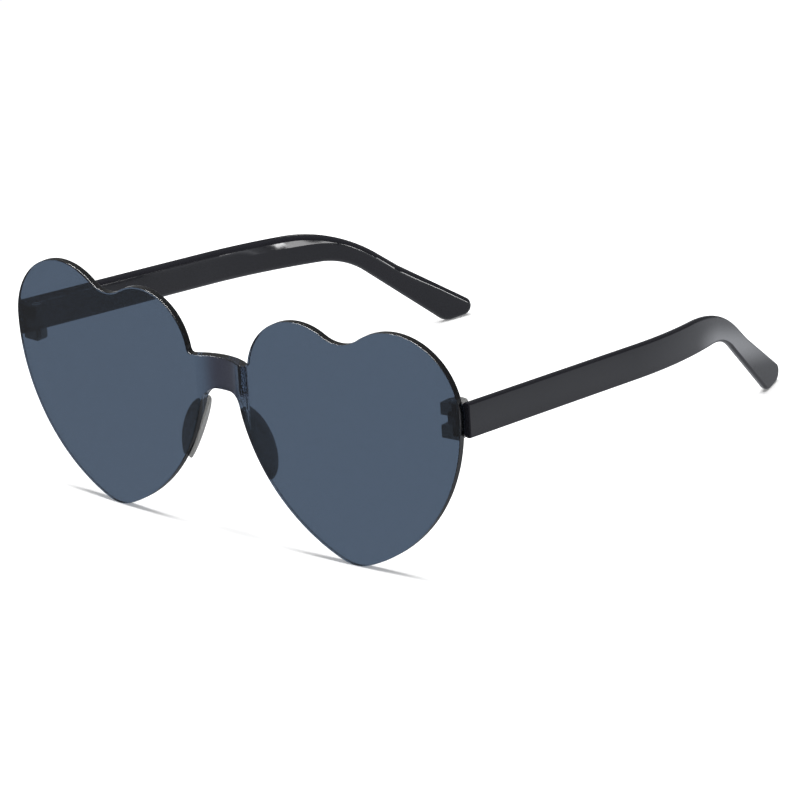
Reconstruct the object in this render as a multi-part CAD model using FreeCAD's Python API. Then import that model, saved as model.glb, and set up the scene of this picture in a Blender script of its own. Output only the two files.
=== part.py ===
import FreeCAD, Part
import math
import os

# Heart shaped sunglasses: a one-piece tinted lens, two nose pads and two hinge blocks bonded to its
# back, two temples that fold on steel hinge screws. Millimetres, +Z up, the wearer looks along -Y.
# The glasses stand open on the two heart tips and the two temple tails, all at z = 0.
# Values with one side given are for the right half (+X); the left half is its mirror image.

V = FreeCAD.Vector
SIDEWAYS = V(1, 0, 0)
BACKWARD = V(0, 1, 0)
UPWARD = V(0, 0, 1)

# Lens seen from the front: each heart is a chain of tangent arcs
heart_x = 37.1              # middle of a heart, from the middle of the glasses
tip_radius = 9.8            # rounding of the heart's tip
outer_lobe_offset = 13.95   # lobe centres, across from the heart's middle
inner_lobe_offset = 13.4
outer_lobe_z = 41.3         # lobe centres, up from the floor
inner_lobe_z = 42.3
outer_lobe_radius = 17.2
inner_lobe_radius = 14.6
dip_radius = 8.9            # hollow between the two lobes
outer_side_radius = 42.5    # long arc from the outer lobe down to the tip
inner_side_radius = 45.2    # long arc from the nose down to the tip
nose_half_width = 6.1       # half the gap between the hearts at nose_z
nose_z = 33.0
bridge_top_z = 43.8
bridge_bottom_z = 35.9
bridge_top_fillet = 1.2     # inside corner between the bridge and the inner lobe
nose_arch_radius = 4.5      # inside corner between the bridge and the nose edge

# Lens seen from above: two slightly curved hearts, swept back, with the bridge set back between them
lens_thickness = 2.0
wrap_angle = 3.9            # sweep of a heart at its middle, degrees
wrap_radius = 2600.0        # curve of a heart's front face
bridge_forward = 0.2        # front of the bridge ahead of the front of the hearts' middles
bridge_bend_radius = 13.0   # hollow of the bridge's front face
shoulder_radius = 1.5       # round shoulder from the bridge to a heart, on the front
bridge_thickness = 2.7      # bridge at its middle
bridge_blend_radius = 3.0   # hollow from the bridge to a heart, on the back
lens_edge_radius = 0.35     # polished rim

# Nose pads: a piece of an egg on the lens's back, its flat side to the nose
pad_z = 24.5                # middle of the pad
pad_length = 18.6
pad_width = 9.0             # full width of the egg
pad_lift = 0.35             # egg's axis behind the lens's back face
pad_overhang = 0.1          # nose side of the pad outside the lens's edge
pad_splay_angle = 20.0      # the nose side turns out towards the face
pad_edge_radius = 0.7

# Hinge: two lugs on a block behind the lens, one tongue on the temple
hinge_z = 39.8              # middle of the tongue
lug_height = 3.0
slot_height = 2.5
lug_radius = 2.0
lug_corner_radius = 1.96    # rear corners of the lugs
tongue_radius = 1.6
screw_radius = 0.6
screw_head_radius = 1.1
screw_head_height = 0.7
screw_slot_width = 0.3
screw_slot_depth = 0.3
block_inboard = 2.05        # block's inner end, from the hinge axis
block_edge_radius = 0.35
axis_from_lens = 2.2        # hinge axis behind the lens's back face
axis_from_temple = 3.0      # hinge axis from the temple's inner face
knuckle_clearance = 0.2     # tongue's round end to the end of the slot
tongue_clearance = 0.1      # tongue to the lugs, above and below
bore_clearance = 0.04       # screw in its bores
stop_clearance = 0.1        # temple's end to the lens's back when open
blade_clearance = 0.15      # temple's inner face to the block

# Temple: flat blade, bent down and in behind the ear
temple_thickness = 2.2
temple_height = 8.5
temple_proud = 1.4          # outer face outside the lens's edge
temple_above_hinge = 4.8    # top edge above the middle of the tongue, at the front end
temple_drop_angle = 6.0
bend_y = 105.6              # corner of the bend's top edge, behind the front end
bend_step = 2.6             # corner of the lower edge behind that of the top edge
tail_top_angle = 38.7       # slope of the tail's two edges below level
tail_bottom_angle = 40.5
paddle_angle = 34.8         # slope of the top edge along the tail's last stretch
paddle_start = 23.5         # from the bend's corner to where that stretch begins
paddle_radius = 40.0        # hollow between the two slopes
bend_top_radius = 53.0
bend_bottom_radius = 25.0
tail_tip_radius = 2.45      # rear end of the tail
tail_heel_radius = 4.6      # where the tail comes down to the floor
tail_end_angle = 3.5        # the tail's end rises from the heel to the rear
plan_bend_y = 84.4          # corner of the inward sweep, behind the front end
toe_in_angle = 1.4          # straight stretch of the blade, turned in
plan_bend_angle = 15.9      # turn of the tail, from straight back
plan_bend_radius = 157.0
temple_end_radius = 0.25    # edges of the front end
temple_inner_radius = 1.3   # long edges of the inner face
temple_outer_radius = 0.6   # long edges of the outer face
tongue_web = 6.0            # length of the tongue's root on the blade
tongue_root = 0.7           # depth of the tongue's root in the blade

FAR = 400.0                 # longer than anything here, for cutting shapes
PAST = 1.0                  # how far a bore's cutter runs past the face it opens in
TINY = 1e-6                 # lengths below this are none
CLOSE = 1e-3                # edges this near a plane lie on it
along_angle = 25.0          # an edge turned less than this from a direction runs along it
plumb_angle = 2.5           # the same for a straight upright edge


def unit(angle):
    return V(math.cos(math.radians(angle)), math.sin(math.radians(angle)), 0)


def circle_crossing(centre_a, radius_a, centre_b, radius_b, side):
    """Point at radius_a from a and radius_b from b; side +1 is left of the way from a to b, -1 right."""
    along = centre_b - centre_a
    gap = along.Length
    along = along.normalize()
    reach = (radius_a ** 2 - radius_b ** 2 + gap ** 2) / (2 * gap)
    height = math.sqrt(radius_a ** 2 - reach ** 2)
    return centre_a + along * reach + V(-along.y, along.x, 0) * (side * height)


def toward(start, target, distance):
    return start + (target - start).normalize() * distance


def line_crossing(point_a, direction_a, point_b, direction_b):
    across = V(-direction_b.y, direction_b.x, 0)
    return point_a + direction_a * ((point_b - point_a).dot(across) / direction_a.dot(across))


def arc(start, centre, end, bulge):
    """Arc about a centre that passes through the side of the centre where bulge points."""
    radius = (start - centre).Length
    middle = (start - centre).normalize() + (end - centre).normalize()
    middle = middle.normalize() if middle.Length > TINY else bulge
    if middle.dot(bulge) < 0:
        middle = middle * -1
    return Part.Arc(start, centre + middle * radius, end).toShape()


def short_arc(start, centre, end):
    return arc(start, centre, end, (start - centre) + (end - centre))


def line(start, end):
    return Part.LineSegment(start, end).toShape()


def rounded_face(corners):
    """Flat face in the XY plane from (x, y, corner radius) corners."""
    points = [V(x, y, 0) for x, y, radius in corners]
    starts, ends, edges = [], [], []
    for i, (x, y, radius) in enumerate(corners):
        back = (points[i - 1] - points[i]).normalize()
        ahead = (points[(i + 1) % len(points)] - points[i]).normalize()
        half = back.getAngle(ahead) / 2
        starts.append(points[i] + back * (radius / math.tan(half)))
        ends.append(points[i] + ahead * (radius / math.tan(half)))
        if radius > 0:
            centre = points[i] + (back + ahead).normalize() * (radius / math.sin(half))
            middle = toward(centre, points[i], radius)
            edges.append(Part.Arc(starts[i], middle, ends[i]).toShape())
    for i in range(len(points)):
        following = starts[(i + 1) % len(points)]
        if (following - ends[i]).Length > TINY:
            edges.append(line(ends[i], following))
    return Part.Face(Part.Wire(Part.sortEdges(edges)[0]))


def runs_along(edge, direction, angle):
    """True if the edge's tangent at its middle is within an angle of a direction or its opposite."""
    tangent = edge.tangentAt((edge.FirstParameter + edge.LastParameter) / 2)
    turn = math.degrees(tangent.getAngle(direction))
    return min(turn, 180 - turn) < angle


def upright(face_xz, y_low, y_high):
    """Solid from a face drawn as (x, z): its drawing plane is stood up and pushed along Y."""
    face = face_xz.copy()
    face.rotate(V(0, 0, 0), V(1, 0, 0), 90)
    face.translate(V(0, y_high, 0))
    return face.extrude(V(0, y_low - y_high, 0))


def mirrored(shape):
    return shape.mirror(V(0, 0, 0), SIDEWAYS)


# Heart outline, drawn as (x, z)
outer_lobe = V(heart_x + outer_lobe_offset, outer_lobe_z, 0)
inner_lobe = V(heart_x - inner_lobe_offset, inner_lobe_z, 0)
tip = V(heart_x, tip_radius, 0)
nose_point = V(nose_half_width, nose_z, 0)
dip = circle_crossing(inner_lobe, inner_lobe_radius + dip_radius,
                      outer_lobe, outer_lobe_radius + dip_radius, 1)
outer_side = circle_crossing(outer_lobe, outer_side_radius - outer_lobe_radius,
                             tip, outer_side_radius - tip_radius, -1)
inner_side = circle_crossing(nose_point, inner_side_radius,
                             tip, inner_side_radius - tip_radius, 1)


def side_x(z):
    """Outer edge of the lens at a height."""
    return outer_side.x + math.sqrt(outer_side_radius ** 2 - (z - outer_side.y) ** 2)


def nose_x(z):
    """Nose edge of the lens at a height."""
    return inner_side.x - math.sqrt(inner_side_radius ** 2 - (z - inner_side.y) ** 2)


def half_outline():
    """Edges of the right half's outline, from the bridge's top round to its underside."""
    top_centre = V(inner_lobe.x, bridge_top_z + bridge_top_fillet, 0)
    rise = inner_lobe.y - top_centre.y
    top_centre.x -= math.sqrt((inner_lobe_radius + bridge_top_fillet) ** 2 - rise ** 2)
    arch_centre = V(inner_side.x, bridge_bottom_z - nose_arch_radius, 0)
    rise = inner_side.y - arch_centre.y
    arch_centre.x -= math.sqrt((inner_side_radius + nose_arch_radius) ** 2 - rise ** 2)

    bridge_top = V(top_centre.x, bridge_top_z, 0)
    lobe_start = toward(inner_lobe, top_centre, inner_lobe_radius)
    dip_start = toward(inner_lobe, dip, inner_lobe_radius)
    dip_end = toward(outer_lobe, dip, outer_lobe_radius)
    side_start = toward(outer_side, outer_lobe, outer_side_radius)
    tip_start = toward(outer_side, tip, outer_side_radius)
    tip_end = toward(inner_side, tip, inner_side_radius)
    arch_start = toward(inner_side, arch_centre, inner_side_radius)
    bridge_bottom = V(arch_centre.x, bridge_bottom_z, 0)
    up_and_out = V(1, 1, 0)
    return [
        line(V(0, bridge_top_z, 0), bridge_top),
        short_arc(bridge_top, top_centre, lobe_start),
        short_arc(lobe_start, inner_lobe, dip_start),
        short_arc(dip_start, dip, dip_end),
        arc(dip_end, outer_lobe, side_start, up_and_out),
        short_arc(side_start, outer_side, tip_start),
        short_arc(tip_start, tip, tip_end),
        short_arc(tip_end, inner_side, arch_start),
        short_arc(arch_start, arch_centre, bridge_bottom),
        line(bridge_bottom, V(0, bridge_bottom_z, 0)),
    ]


# Lens section seen from above, drawn as (x, y): y = 0 is the front face at a heart's middle
wrap_centre = V(heart_x, 0, 0) + unit(90 + wrap_angle) * wrap_radius
bend_centre = V(0, -bridge_forward - bridge_bend_radius, 0)
FRONT_FACE = (0.0, 0.0, shoulder_radius)
BACK_FACE = (lens_thickness, bridge_thickness, bridge_blend_radius)


def lens_y(x, depth):
    """Place of the lens's face at x; depth 0 is the front face, lens_thickness the back face."""
    return wrap_centre.y - math.sqrt((wrap_radius - depth) ** 2 - (x - wrap_centre.x) ** 2)


def lens_curve(face, end_x):
    """Edges of one face of the lens seen from above, from the right end across to the left end."""
    depth, bridge_depth, blend_radius = face
    heart_radius = wrap_radius - depth
    bend_radius = bridge_bend_radius + bridge_depth
    shoulder = circle_crossing(bend_centre, bend_radius + blend_radius,
                               wrap_centre, heart_radius - blend_radius, -1)
    end = V(end_x, lens_y(end_x, depth), 0)
    heart_start = toward(wrap_centre, shoulder, heart_radius)
    bend_start = toward(bend_centre, shoulder, bend_radius)
    middle = V(0, bend_centre.y + bend_radius, 0)
    right = [
        short_arc(end, wrap_centre, heart_start),
        short_arc(heart_start, shoulder, bend_start),
    ]
    bend = Part.Arc(bend_start, middle, V(-bend_start.x, bend_start.y, 0)).toShape()
    return right + [bend] + [mirrored(edge) for edge in right]


def front_region(face, end_x):
    """Everything in front of one face of the lens, as one tall solid."""
    end_y = lens_y(end_x, face[0])
    edges = lens_curve(face, end_x)
    edges.append(line(V(end_x, end_y, 0), V(end_x, -FAR, 0)))
    edges.append(line(V(end_x, -FAR, 0), V(-end_x, -FAR, 0)))
    edges.append(line(V(-end_x, -FAR, 0), V(-end_x, end_y, 0)))
    face = Part.Face(Part.Wire(Part.sortEdges(edges)[0]))
    face.translate(V(0, 0, -FAR))
    return face.extrude(V(0, 0, 2 * FAR))


lens_reach = side_x(outer_side.y) + outer_lobe_radius
before_back = front_region(BACK_FACE, lens_reach)


def make_lens():
    right = half_outline()
    edges = right + [mirrored(edge) for edge in right]
    outline = Part.Face(Part.Wire(Part.sortEdges(edges)[0]))
    slab = upright(outline, -FAR / 2, FAR / 2)
    lens = slab.common(before_back).cut(front_region(FRONT_FACE, lens_reach)).Solids[0]
    rim = [e for e in lens.Edges if not runs_along(e, BACKWARD, along_angle) and not runs_upright_inside(e)]
    return lens.makeFillet(lens_edge_radius, rim)


def runs_upright_inside(edge):
    """True for the seams between the bridge, shoulder and heart faces, which are smooth already."""
    ends = [vertex.Point for vertex in edge.Vertexes]
    return abs(ends[0].x - ends[-1].x) < TINY and abs(ends[0].y - ends[-1].y) < TINY


def make_pad():
    """Egg on the lens's back, cut by the lens and by the slanted nose plane."""
    edge_x = nose_x(pad_z)
    lean = math.degrees(math.atan2(pad_z - inner_side.y, edge_x - inner_side.x)) + 180
    base_x = edge_x - pad_overhang / math.cos(math.radians(lean))
    base_y = lens_y(base_x, lens_thickness) + pad_lift
    ellipse = Part.Ellipse(V(0, 0, 0), pad_length / 2, pad_width / 2)
    half = Part.Face(Part.Wire([
        Part.ArcOfEllipse(ellipse, 0, math.pi).toShape(),
        line(V(-pad_length / 2, 0, 0), V(pad_length / 2, 0, 0)),
    ]))
    egg = half.revolve(V(0, 0, 0), V(1, 0, 0), 360)
    egg.rotate(V(0, 0, 0), V(0, 1, 0), 90)
    nose = Part.makeBox(FAR, 2 * FAR, 2 * FAR, V(-FAR, -FAR, -FAR))
    nose.rotate(V(0, 0, 0), V(0, 0, 1), -pad_splay_angle)
    pad = egg.cut(nose)
    pad.rotate(V(0, 0, 0), V(0, 1, 0), -lean)
    pad.translate(V(base_x, base_y, pad_z))
    pad = pad.cut(before_back).Solids[0]
    ridge = [e for e in pad.Edges if e.BoundBox.YMax - base_y > pad_width / 4 and e.Length > pad_width / 2]
    return pad.makeFillet(pad_edge_radius, ridge)


# Hinge and temple root
temple_outer_x = side_x(hinge_z) + temple_proud
temple_inner_x = temple_outer_x - temple_thickness
axis_x = temple_inner_x - axis_from_temple
axis_y = lens_y(axis_x, lens_thickness) + axis_from_lens
temple_front_y = lens_y(side_x(hinge_z), lens_thickness) + stop_clearance
block_low_z = hinge_z - slot_height / 2 - lug_height
block_high_z = hinge_z + slot_height / 2 + lug_height


def upright_rod(radius, low_z, high_z):
    return Part.makeCylinder(radius, high_z - low_z, V(axis_x, axis_y, low_z))


def make_block():
    inner_x = axis_x - block_inboard
    outer_x = temple_inner_x - blade_clearance
    front_y = lens_y(inner_x, 0)
    lug_rear_y = axis_y + lug_radius
    plan = rounded_face([
        (inner_x, front_y, 0),
        (outer_x, front_y, 0),
        (outer_x, lug_rear_y, lug_corner_radius),
        (inner_x, lug_rear_y, lug_corner_radius),
    ])
    plan.translate(V(0, 0, block_low_z))
    block = plan.extrude(V(0, 0, block_high_z - block_low_z)).cut(before_back).Solids[0]
    rims = [e for e in block.Edges
            if e.BoundBox.ZLength < TINY and e.BoundBox.YMax > axis_y]
    block = block.makeFillet(block_edge_radius, rims)
    slot_low_z = hinge_z - slot_height / 2
    slot_end_x = axis_x + tongue_radius + knuckle_clearance
    slot = Part.makeBox(FAR, FAR, slot_height, V(slot_end_x - FAR, -FAR / 2, slot_low_z))
    swing = Part.makeBox(FAR, FAR, slot_height,
                         V(slot_end_x - FAR / 2, axis_y - knuckle_clearance, slot_low_z))
    bore = upright_rod(screw_radius + bore_clearance, block_low_z - PAST, block_high_z + PAST)
    seat = upright_rod(screw_head_radius + bore_clearance, block_high_z - screw_head_height,
                       block_high_z + PAST)
    return block.cut(slot).cut(swing).cut(bore).cut(seat)


def make_screw():
    shank = upright_rod(screw_radius, block_low_z, block_high_z - screw_head_height / 2)
    head = upright_rod(screw_head_radius, block_high_z - screw_head_height, block_high_z)
    slot = Part.makeBox(4 * screw_head_radius, screw_slot_width, screw_slot_depth,
                        V(axis_x - 2 * screw_head_radius, axis_y - screw_slot_width / 2,
                          block_high_z - screw_slot_depth))
    return shank.fuse(head).cut(slot).removeSplitter()


def temple_side():
    """Side of the temple, drawn as (y, z) from the front end."""
    level = unit(-temple_drop_angle)
    top = V(0, hinge_z + temple_above_hinge, 0)
    low = top - V(0, temple_height, 0)
    along = level * (1 / level.x)
    top_bend = top + along * bend_y
    low_bend = low + along * (bend_y + bend_step)
    paddle = top_bend + unit(-tail_top_angle) * paddle_start
    low_way = unit(-tail_bottom_angle)
    end_way = unit(tail_end_angle)
    heel_line = low_bend + unit(90 - tail_bottom_angle) * tail_heel_radius
    heel_centre = line_crossing(heel_line, low_way, V(0, tail_heel_radius, 0), V(1, 0, 0))
    end_point = heel_centre + unit(tail_end_angle - 90) * tail_heel_radius
    tail_tip = line_crossing(paddle, unit(-paddle_angle), end_point, end_way)
    tail_heel = line_crossing(low_bend, low_way, end_point, end_way)
    return rounded_face([
        (top.x, top.y, 0),
        (top_bend.x, top_bend.y, bend_top_radius),
        (paddle.x, paddle.y, paddle_radius),
        (tail_tip.x, tail_tip.y, tail_tip_radius),
        (tail_heel.x, tail_heel.y, tail_heel_radius),
        (low_bend.x, low_bend.y, bend_bottom_radius),
        (low.x, low.y, 0),
    ])


def temple_plan():
    """Temple seen from above, drawn as (x, y)."""
    straight = unit(90 + toe_in_angle)
    sweep = unit(90 + plan_bend_angle)
    front = V(temple_outer_x, temple_front_y, 0)
    corner = front + straight * (plan_bend_y / straight.y)
    end = corner + sweep * FAR
    inner_front = front - V(temple_thickness, 0, 0)
    inner_end = end - V(sweep.y, -sweep.x, 0) * temple_thickness
    inner_corner = line_crossing(inner_front, straight, inner_end, sweep)
    return rounded_face([
        (front.x, front.y, 0),
        (corner.x, corner.y, plan_bend_radius),
        (end.x, end.y, 0),
        (inner_end.x, inner_end.y, 0),
        (inner_corner.x, inner_corner.y, plan_bend_radius - temple_thickness),
        (inner_front.x, inner_front.y, 0),
    ])


def make_tongue():
    """Knuckle round the screw with a web that runs back along the blade's inner face."""
    root_x = temple_inner_x + tongue_root
    low_z = hinge_z - slot_height / 2 + tongue_clearance
    height = slot_height - 2 * tongue_clearance
    web = rounded_face([
        (axis_x, axis_y, 0),
        (root_x, axis_y, 0),
        (root_x, axis_y + tongue_web, 0),
        (temple_inner_x, axis_y + tongue_web, 0),
        (axis_x, axis_y + tongue_radius, 0),
    ])
    web.translate(V(0, 0, low_z))
    return web.extrude(V(0, 0, height)).fuse(upright_rod(tongue_radius, low_z, low_z + height))


def make_temple():
    side = temple_side()
    side.rotate(V(0, 0, 0), V(1, 1, 1), 120)
    side.translate(V(0, temple_front_y, 0))
    blade = side.extrude(V(FAR / 2, 0, 0))
    plan = temple_plan().extrude(V(0, 0, FAR))
    blade = blade.common(plan).Solids[0]
    blade = blade.makeFillet(temple_inner_radius, long_edges(blade, SIDEWAYS))
    blade = blade.makeFillet(temple_outer_radius, long_edges(blade, SIDEWAYS * -1))
    front = [e for e in blade.Edges if e.BoundBox.YMax < temple_front_y + CLOSE]
    blade = blade.makeFillet(temple_end_radius, front)
    bore = upright_rod(screw_radius + bore_clearance, block_low_z, block_high_z)
    return blade.fuse(make_tongue()).removeSplitter().cut(bore)


def long_edges(blade, way):
    """Edges along the blade that have its body on the given side, without those of its front end."""
    found = []
    for edge in blade.Edges:
        middle = edge.valueAt((edge.FirstParameter + edge.LastParameter) / 2)
        across = runs_along(edge, UPWARD, plumb_angle) or runs_along(edge, SIDEWAYS, along_angle)
        if not across and blade.isInside(middle + way * (temple_thickness / 2), CLOSE, True):
            found.append(edge)
    return found


right_parts = {
    "nose_pad": make_pad(),
    "hinge_block": make_block(),
    "hinge_screw": make_screw(),
    "temple": make_temple(),
}
parts = {"lens_shield": make_lens()}
for name, shape in right_parts.items():
    parts[name + "_right"] = shape
    parts[name + "_left"] = mirrored(shape)

# The origin is under the middle of the whole object's box
extent = Part.makeCompound(list(parts.values())).optimalBoundingBox(True, False)
middle_y = (extent.YMin + extent.YMax) / 2
os.makedirs("parts", exist_ok=True)
for name, shape in parts.items():
    placed = shape.copy()
    placed.translate(V(0, -middle_y, 0))
    placed.exportStep("parts/" + name + ".step")
    box = placed.optimalBoundingBox(True, False)
    print("%-18s valid %s solids %d volume %8.2f x %.2f..%.2f y %.2f..%.2f z %.2f..%.2f" % (
        name, placed.isValid(), len(placed.Solids), placed.Volume,
        box.XMin, box.XMax, box.YMin, box.YMax, box.ZMin, box.ZMax))
print("hinge axis x %.3f y %.3f, middle_y %.3f" % (axis_x, axis_y - middle_y, middle_y))
print("temple outer face x %.3f, front end y %.3f" % (temple_outer_x, temple_front_y - middle_y))
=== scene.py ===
import math

import bmesh
import bpy
from mathutils import Matrix, Vector

# Heart shaped sunglasses, standing open on a white table. Metres, the lens faces -Y, +Z is up.

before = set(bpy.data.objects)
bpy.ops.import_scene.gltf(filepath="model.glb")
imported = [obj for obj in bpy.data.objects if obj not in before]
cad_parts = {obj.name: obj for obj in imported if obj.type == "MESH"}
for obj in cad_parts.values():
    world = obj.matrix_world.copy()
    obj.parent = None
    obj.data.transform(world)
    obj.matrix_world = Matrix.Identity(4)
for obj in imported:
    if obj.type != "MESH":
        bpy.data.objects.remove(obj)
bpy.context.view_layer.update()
scene = bpy.context.scene
scene.view_settings.view_transform = "Standard"

BLACK = (0.0, 0.0, 0.0, 1.0)
WHITE = (1.0, 1.0, 1.0, 1.0)

# Sockets of a Mix node that blends colours
MIX_SHARE = 0
MIX_FIRST = 6
MIX_SECOND = 7
MIX_RESULT = 2


class Wire:
    """One socket of a shader tree. Arithmetic on it adds Math nodes."""

    def __init__(self, tree, socket):
        self.tree = tree
        self.socket = socket

    def math(self, operation, *values):
        node = self.tree.nodes.new("ShaderNodeMath")
        node.operation = operation
        for socket, value in zip(node.inputs, values):
            plug(self.tree, socket, value)
        return Wire(self.tree, node.outputs[0])

    def __add__(self, other):
        return self.math("ADD", self, other)

    __radd__ = __add__

    def __sub__(self, other):
        return self.math("SUBTRACT", self, other)

    def __rsub__(self, other):
        return self.math("SUBTRACT", other, self)

    def __mul__(self, other):
        return self.math("MULTIPLY", self, other)

    __rmul__ = __mul__

    def __truediv__(self, other):
        return self.math("DIVIDE", self, other)

    def __abs__(self):
        return self.math("ABSOLUTE", self)

    def least(self, other):
        return self.math("MINIMUM", self, other)

    def most(self, other):
        return self.math("MAXIMUM", self, other)

    def fade(self, low, high):
        """0 below low, 1 above high, smooth between."""
        node = self.tree.nodes.new("ShaderNodeMapRange")
        node.interpolation_type = "SMOOTHSTEP"
        plug(self.tree, node.inputs["Value"], self)
        node.inputs["From Min"].default_value = low
        node.inputs["From Max"].default_value = high
        return Wire(self.tree, node.outputs[0])


def plug(tree, socket, value):
    if isinstance(value, Wire):
        tree.links.new(value.socket, socket)
    else:
        socket.default_value = value


class Finish:
    """A material or world whose nodes are added one by one."""

    def __init__(self, owner):
        self.owner = owner
        owner.use_nodes = True
        self.tree = owner.node_tree
        self.tree.nodes.clear()

    def node(self, kind, settings=None, inputs=None, out=0):
        """One node of any kind: its settings are set first, then the values or links of its sockets."""
        made = self.tree.nodes.new("ShaderNode" + kind)
        for key, value in (settings or {}).items():
            setattr(made, key, value)
        for key, value in (inputs or {}).items():
            plug(self.tree, made.inputs[key], value)
        return Wire(self.tree, made.outputs[out])

    def surface(self, shader, volume=None):
        kind = "OutputWorld" if isinstance(self.owner, bpy.types.World) else "OutputMaterial"
        made = self.tree.nodes.new("ShaderNode" + kind)
        plug(self.tree, made.inputs["Surface"], shader)
        if volume:
            plug(self.tree, made.inputs["Volume"], volume)

    def place(self):
        return self.node("TexCoord", out="Object")

    def axis(self, name):
        return self.node("SeparateXYZ", {}, {0: self.place()}, out=name)

    def stretched(self, scale):
        return self.node("Mapping", {"vector_type": "POINT"}, {"Vector": self.place(), "Scale": scale})

    def noise(self, scale, detail, rough, vector=None):
        return self.node("TexNoise", {"noise_dimensions": "3D"}, {
            "Vector": vector or self.place(), "Scale": scale, "Detail": detail, "Roughness": rough})

    def blend(self, share, first, second):
        """Colour that runs from the first to the second with a share from 0 to 1."""
        return self.node("Mix", {"data_type": "RGBA"}, {
            MIX_SHARE: share, MIX_FIRST: first, MIX_SECOND: second}, out=MIX_RESULT)

    def mixed(self, share, first, second):
        """Shader that runs from the first to the second with a share from 0 to 1."""
        return self.node("MixShader", {}, {0: share, 1: first, 2: second})

    def bump(self, height):
        """Relief whose height is in metres."""
        return self.node("Bump", {}, {"Height": height, "Distance": 1.0, "Strength": 1.0}, out="Normal")


def new_finish(name):
    return Finish(bpy.data.materials.new(name))


def dress(node, finish):
    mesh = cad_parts[node].data
    mesh.materials.clear()
    mesh.materials.append(finish.owner)


# Lens: see-through grey-blue plastic, polished on both sides, with painted shade that darkens the bridge
LENS_INDEX = 1.45
LENS_DENSITY = 80.0
LENS_COLOUR = (0.218, 0.32, 0.437, 1.0)
LENS_SKIN = (0.0865, 0.122, 0.1765, 1.0)
LENS_SMEAR = (0.0845, 0.12, 0.1745, 1.0)
LENS_SMEAR_GRAIN = {"scale": 90.0, "detail": 3.0, "rough": 0.6}
LENS_GLAZE_ROUGH = 0.25
LENS_SHADE = (0.2, 0.2, 0.2, 1.0)
# Painted shade on the bridge: a darker tint, full near the middle and gone by BRIDGE_END
BRIDGE_PAINTED_SHADE = (0.0401, 0.0424, 0.0619, 1.0)
BRIDGE_HALF = 0.0022
BRIDGE_END = 0.0074


def lens_finish():
    f = new_finish("lens_tint")
    smear = f.noise(**LENS_SMEAR_GRAIN)
    # Painted shade: the lens colour darkens towards the middle of the bridge
    bridge = abs(f.axis("X")).fade(BRIDGE_HALF, BRIDGE_END)
    clear = f.node("BsdfPrincipled", {}, {
        "Base Color": f.blend(bridge, BRIDGE_PAINTED_SHADE, f.blend(smear, LENS_SMEAR, LENS_SKIN)),
        "Roughness": 0.0,
        "IOR": LENS_INDEX,
        "Transmission Weight": 1.0,
        "Coat Weight": 1.0,
        "Coat Roughness": LENS_GLAZE_ROUGH,
    })
    passed = f.node("BsdfTransparent", {}, {"Color": LENS_SHADE})
    lamp = f.node("LightPath", out="Is Shadow Ray")
    tint = f.node("VolumeAbsorption", {}, {"Color": LENS_COLOUR, "Density": LENS_DENSITY})
    f.surface(f.mixed(lamp, clear, passed), tint)
    return f


# Temple blade, seen from the side: its middle line runs down a little, then bends down behind the ear
BLADE_FRONT_Y = -0.0695
BLADE_FRONT_Z = 0.04035
BLADE_SLOPE = math.radians(6.0)
TAIL_Y = 0.0374
TAIL_Z = 0.0292
TAIL_SLOPE = math.radians(39.6)
BEND_SOFTNESS = 0.008

# Temple blade, seen from above: its middle line toes in, then sweeps in towards the tail
PLAN_FRONT_X = 0.06856
PLAN_TOE = math.radians(1.4)
PLAN_TAIL_X = 0.0665
PLAN_TAIL_Y = 0.0149
PLAN_SWEEP = math.radians(15.9)
PLAN_SOFTNESS = 0.0076
PLAN_MIDDLE = 0.0003

# Temple blade, relief: faces crowned a little, and an inner upper edge that is eased off at the bend,
# rounded behind it and plain again on the paddle
CROWN_RADIUS = 0.045
BEVEL_START = 0.0012
BEVEL_SLOPE = 0.3
BEVEL_FRONT_Y = 0.004
BEVEL_FULL_Y = 0.031
ROUND_START = 0.0006
ROUND_RADIUS = 0.0045
ROUND_DEPTH = 0.0022
ROUND_FRONT_Y = 0.030
ROUND_FULL_Y = 0.045
ROUND_FADE_Y = 0.052
ROUND_END_Y = 0.067


def across_blade(f):
    """Distance above the blade's middle line, in the blade's own plane."""
    y = f.axis("Y")
    z = f.axis("Z")
    above_front = (z - BLADE_FRONT_Z) * math.cos(BLADE_SLOPE) + (y - BLADE_FRONT_Y) * math.sin(BLADE_SLOPE)
    above_tail = (z - TAIL_Z) * math.cos(TAIL_SLOPE) + (y - TAIL_Y) * math.sin(TAIL_SLOPE)
    return y.math("SMOOTH_MAX", above_front, above_tail, BEND_SOFTNESS)


def inner_side(f):
    """1 on the side of the blade that faces the head, 0 on the outer side."""
    x = abs(f.axis("X"))
    y = f.axis("Y")
    off_front = (x - PLAN_FRONT_X) * math.cos(PLAN_TOE) + (y - BLADE_FRONT_Y) * math.sin(PLAN_TOE)
    off_tail = (x - PLAN_TAIL_X) * math.cos(PLAN_SWEEP) + (y - PLAN_TAIL_Y) * math.sin(PLAN_SWEEP)
    return 1.0 - x.math("SMOOTH_MAX", off_front, off_tail, PLAN_SOFTNESS).fade(-PLAN_MIDDLE, PLAN_MIDDLE)


def blade_relief(f, skin):
    """The height of the skin, lowered by the crown and by what the inner upper edge loses."""
    y = f.axis("Y")
    across = across_blade(f)
    inner = inner_side(f)
    bent = y.fade(BEVEL_FRONT_Y, BEVEL_FULL_Y)
    crown = across * across * (inner.most(1.0 - bent) / (2.0 * CROWN_RADIUS))
    bevel = (across - BEVEL_START).most(0.0) * BEVEL_SLOPE
    past = (across - ROUND_START).most(0.0)
    turned = past.least(ROUND_DEPTH)
    rounded = turned * (past - turned * 0.5) / ROUND_RADIUS
    tail = y.fade(ROUND_FRONT_Y, ROUND_FULL_Y)
    kept = bent * (1.0 - y.fade(ROUND_FADE_Y, ROUND_END_Y))
    return skin - crown - (bevel + (rounded - bevel) * tail) * kept * inner


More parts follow.
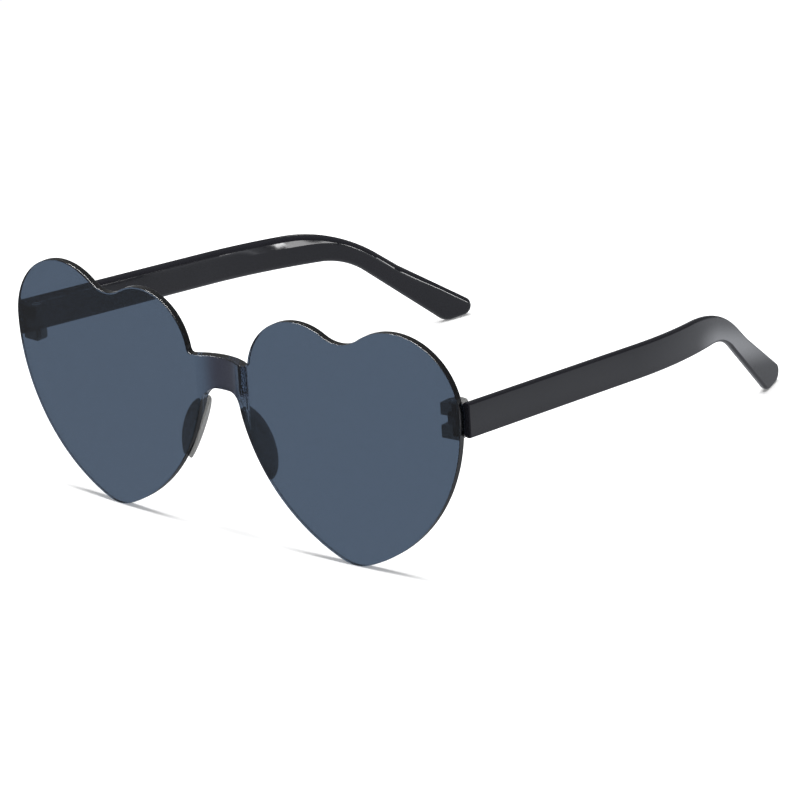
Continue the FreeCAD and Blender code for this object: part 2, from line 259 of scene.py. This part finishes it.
# Moulded plastic of the temples, blocks and pads
CLOUD_GRAIN = {"scale": 140.0, "detail": 4.0, "rough": 0.55}
SCUFF_STRETCH = (900.0, 60.0, 900.0)
SCUFF_GRAIN = {"scale": 1.0, "detail": 3.0, "rough": 0.6}
NOISE_MIDDLE = 0.5
HAIR_WIDTH = 0.012
HAIR_ROUGH = 0.08
SKIN_GRAIN = {"scale": 2600.0, "detail": 2.0, "rough": 0.5}
SKIN_DEPTH = 0.0000003
SMOKE = (0.98, 0.98, 0.97, 1.0)
SMOKE_LEAST = 0.9
SMOKE_SPREAD = 0.2


def plastic_finish(name, dark, light, rough_low, rough_high, index, crowned=False, through=0.0):
    """Black moulded plastic: mottled a little, with a fine skin and a few hairline scuffs along the blade.
    Smoky plastic lets a share of the light through."""
    f = new_finish(name)
    cloud = f.noise(**CLOUD_GRAIN)
    scuff = f.noise(vector=f.stretched(SCUFF_STRETCH), **SCUFF_GRAIN)
    hair = (HAIR_WIDTH - abs(scuff - NOISE_MIDDLE)).fade(0.0, HAIR_WIDTH)
    relief = f.noise(**SKIN_GRAIN) * SKIN_DEPTH
    if crowned:
        relief = blade_relief(f, relief)
    shader = f.node("BsdfPrincipled", {}, {
        "Base Color": f.blend(cloud, dark, light),
        "Roughness": cloud * (rough_high - rough_low) + rough_low + hair * HAIR_ROUGH,
        "IOR": index,
        "Normal": f.bump(relief),
    })
    if through:
        passed = f.node("BsdfTransparent", {}, {"Color": SMOKE})
        share = cloud * (SMOKE_SPREAD * through) + SMOKE_LEAST * through
        shader = f.mixed(share, shader, passed)
    f.surface(shader)
    return f


# Bright steel of the hinge screws
STEEL_STRETCH = (9000.0, 9000.0, 900.0)
STEEL_GRAIN = {"scale": 1.0, "detail": 3.0, "rough": 0.6}
STEEL_DARK = (0.48, 0.48, 0.49, 1.0)
STEEL_LIGHT = (0.62, 0.62, 0.63, 1.0)
STEEL_ROUGH_LOW = 0.22
STEEL_ROUGH_SPREAD = 0.2


def steel_finish():
    """Small bright screw with turning marks."""
    f = new_finish("screw_steel")
    grain = f.noise(vector=f.stretched(STEEL_STRETCH), **STEEL_GRAIN)
    f.surface(f.node("BsdfPrincipled", {}, {
        "Base Color": f.blend(grain, STEEL_DARK, STEEL_LIGHT),
        "Metallic": 1.0,
        "Roughness": grain * STEEL_ROUGH_SPREAD + STEEL_ROUGH_LOW,
    }))
    return f


lens = lens_finish()
temple = plastic_finish(
    "temple_black", dark=(0.0075, 0.0077, 0.0105, 1.0), light=(0.0105, 0.0107, 0.014, 1.0),
    rough_low=0.06, rough_high=0.12, index=1.5, crowned=True)
block = plastic_finish(
    "block_smoke", dark=(0.012, 0.0125, 0.0135, 1.0), light=(0.017, 0.0175, 0.019, 1.0),
    rough_low=0.2, rough_high=0.3, index=1.45, through=0.34)
pad = plastic_finish(
    "pad_smoke", dark=(0.016, 0.018, 0.02, 1.0), light=(0.024, 0.026, 0.029, 1.0),
    rough_low=0.12, rough_high=0.2, index=1.45, through=0.33)
steel = steel_finish()
dress("lens_shield", lens)
for side in ("left", "right"):
    dress("temple_" + side, temple)
    dress("hinge_block_" + side, block)
    dress("nose_pad_" + side, pad)
    dress("hinge_screw_" + side, steel)


# Table: white to the eye and through the lens, with the shadow kept. In a reflection it is dark in front
# and grey behind, with a pool of light past the right temple's tail.
FLOOR_HALF = 3.0
FLOOR_DROP = 0.00002
FLOOR_COLOUR = (0.8, 0.8, 0.8, 1.0)
FLOOR_LIFT = 0.22
FLOOR_WHITE_FROM = 0.25
FLOOR_WHITE_AT = 0.5
POOL_CENTRE = (0.066, 0.101, 0.0)
POOL_INNER = 0.003
POOL_OUTER = 0.020
POOL_LIGHT = 0.88
REAR_FROM_Y = -0.09
REAR_FULL_Y = 0.0
RING_FROM = 0.09
RING_FULL = 0.13
FAR_FROM = 0.15
FAR_FULL = 0.3
MIRRORED_TOP = 1.6
MIRRORED_FRONT = 0.17
MIRRORED_NEAR = 0.45
MIRRORED_RING = 0.62
MIRRORED_FAR = 0.3
COOL = (0.955, 0.985, 1.045, 1.0)


def ray_kinds(f):
    """1 for rays from the camera, 1 for rays through the lens, and 1 for rays of a reflection."""
    shown = f.node("LightPath", out="Is Camera Ray")
    passed = f.node("LightPath", out="Is Transmission Ray")
    glossy = f.node("LightPath", out="Is Glossy Ray")
    return shown, passed, glossy * (1.0 - passed)


def table_finish():
    f = new_finish("table_white")
    shown, passed, reflected = ray_kinds(f)
    matt = f.node("BsdfDiffuse", {}, {"Color": FLOOR_COLOUR})
    lift = f.node("Emission", {}, {"Color": f.blend(shown, BLACK, WHITE), "Strength": FLOOR_LIFT})
    white = f.node("Emission", {}, {"Color": WHITE, "Strength": 1.0})
    away = f.node("VectorMath", {"operation": "DISTANCE"}, {0: f.place(), 1: POOL_CENTRE}, out="Value")
    radius = f.node("VectorMath", {"operation": "LENGTH"}, {0: f.place()}, out="Value")
    rear = f.axis("Y").fade(REAR_FROM_Y, REAR_FULL_Y)
    ring = radius.fade(RING_FROM, RING_FULL) * (MIRRORED_RING - MIRRORED_NEAR) + MIRRORED_NEAR
    ground = rear * (ring - radius.fade(FAR_FROM, FAR_FULL) * (MIRRORED_RING - MIRRORED_FAR))
    light = (1.0 - away.fade(POOL_INNER, POOL_OUTER)) * POOL_LIGHT + ground.most(MIRRORED_FRONT)
    pool = f.node("Emission", {}, {
        "Color": f.blend(light / MIRRORED_TOP, BLACK, COOL), "Strength": MIRRORED_TOP})
    near = f.node("AddShader", {}, {0: matt, 1: lift})
    far = shown * radius.fade(FLOOR_WHITE_FROM, FLOOR_WHITE_AT)
    f.surface(f.mixed(passed, f.mixed(reflected, f.mixed(far, near, white), pool), white))
    return f


def make_floor():
    shape = bmesh.new()
    bmesh.ops.create_grid(shape, x_segments=1, y_segments=1, size=FLOOR_HALF,
                          matrix=Matrix.Translation((0.0, 0.0, -FLOOR_DROP)))
    mesh = bpy.data.meshes.new("table")
    shape.to_mesh(mesh)
    shape.free()
    mesh.materials.append(table_finish().owner)
    floor = bpy.data.objects.new("table", mesh)
    scene.collection.objects.link(floor)


make_floor()

# Sky: white to the eye and through the lens, dim in a reflection, and an even fill for all else
SKY_FILL = 0.31
SKY_MIRRORED = 0.12


def make_sky():
    scene.world = bpy.data.worlds.new("studio")
    f = Finish(scene.world)
    shown, passed, reflected = ray_kinds(f)
    white = shown.most(passed)
    other = 1.0 - white.most(reflected)
    f.surface(f.node("Background", {}, {
        "Color": WHITE,
        "Strength": white + reflected * SKY_MIRRORED + other * SKY_FILL,
    }))


make_sky()

# Lamps: one gives plain light, and the others only a gloss on some pieces
ABOVE_LENS = (0.0, -0.07, 1.0)
UNDER_LENS = (0.0, -0.07, 0.0)
BLADE_MIDDLE = (0.0, 0.0, 0.03)
SIDE_PANEL = (1.09, 0.46, 0.177)
TAIL_PANEL = (0.9636, 0.713, 0.056)
TEMPLES = ("temple_left", "temple_right")
FRONT_PIECES = tuple(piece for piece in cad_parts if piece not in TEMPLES)


def soft_box(name, place, target, width, height, power, gloss_on=()):
    """Area lamp that gives plain light, or only a gloss on the pieces that are named."""
    data = bpy.data.lights.new(name, "AREA")
    data.shape = "RECTANGLE"
    data.size = width
    data.size_y = height
    data.energy = power
    lamp = bpy.data.objects.new(name, data)
    scene.collection.objects.link(lamp)
    lamp.location = place
    lamp.rotation_euler = (Vector(target) - Vector(place)).to_track_quat("-Z", "Y").to_euler()
    lamp.visible_camera = False
    lamp.visible_transmission = False
    lamp.visible_diffuse = not gloss_on
    lamp.visible_glossy = bool(gloss_on)
    if gloss_on:
        glossed = bpy.data.collections.new(name)
        for piece in gloss_on:
            glossed.objects.link(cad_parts[piece])
        lamp.light_linking.receiver_collection = glossed


soft_box("top_light", ABOVE_LENS, UNDER_LENS, width=1.4, height=0.28, power=20.4)
soft_box("rim_light", ABOVE_LENS, UNDER_LENS, width=1.4, height=0.5, power=28.0, gloss_on=FRONT_PIECES)
soft_box("side_panel", SIDE_PANEL, BLADE_MIDDLE, width=0.38, height=0.19, power=1.6, gloss_on=TEMPLES)
soft_box("tail_panel", TAIL_PANEL, BLADE_MIDDLE, width=0.231, height=0.105, power=1.3, gloss_on=TEMPLES[:1])

# Camera at the photograph's viewing angle
CAMERA_AZIMUTH = math.radians(40.836)
CAMERA_ELEVATION = math.radians(20.361)
CAMERA_ROLL = math.radians(-3.576)
CAMERA_DISTANCE = 1.047467
CAMERA_TARGET = Vector((0.000374, -0.01253, 0.01359))
CAMERA_LENS = 194.12
CAMERA_SENSOR = 36.0


def make_camera():
    back = Vector((math.sin(CAMERA_AZIMUTH) * math.cos(CAMERA_ELEVATION),
                   -math.cos(CAMERA_AZIMUTH) * math.cos(CAMERA_ELEVATION),
                   math.sin(CAMERA_ELEVATION)))
    level = Vector((math.cos(CAMERA_AZIMUTH), math.sin(CAMERA_AZIMUTH), 0.0))
    plumb = back.cross(level)
    right = level * math.cos(CAMERA_ROLL) + plumb * math.sin(CAMERA_ROLL)
    up = plumb * math.cos(CAMERA_ROLL) - level * math.sin(CAMERA_ROLL)
    eye = CAMERA_TARGET + back * CAMERA_DISTANCE
    data = bpy.data.cameras.new("camera")
    data.lens = CAMERA_LENS
    data.sensor_width = CAMERA_SENSOR
    camera = bpy.data.objects.new("camera", data)
    scene.collection.objects.link(camera)
    camera.matrix_world = Matrix((
        (right.x, up.x, back.x, eye.x),
        (right.y, up.y, back.y, eye.y),
        (right.z, up.z, back.z, eye.z),
        (0.0, 0.0, 0.0, 1.0),
    ))
    scene.camera = camera


make_camera()
